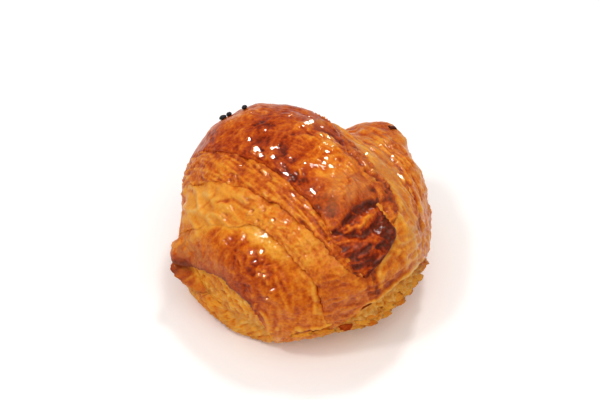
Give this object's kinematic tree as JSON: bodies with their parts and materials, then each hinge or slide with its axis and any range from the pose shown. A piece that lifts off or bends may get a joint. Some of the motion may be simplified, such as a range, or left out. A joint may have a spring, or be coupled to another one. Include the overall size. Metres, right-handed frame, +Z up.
{
  "type": "croissant",
  "caption": "Small plump butter croissant with rolled turns, a glazed dark top, blunt ends, a flat underside and black sesame seeds.",
  "frame": {"origin": "on the resting plane, under the middle of the croissant's box", "axes": "+Z up; X along the roll of the dough; -Y towards the side where the pointed end of the last turn lies"},
  "size_m": [0.107, 0.1174, 0.0697],
  "materials": {
    "crust": "satin",
    "sesame": "satin"
  },
  "bodies": {
    "root": {"croissant": "crust", "sesame_seed_1": "sesame", "sesame_seed_2": "sesame", "sesame_seed_3": "sesame", "sesame_seed_4": "sesame"}
  },
  "joints": []
}
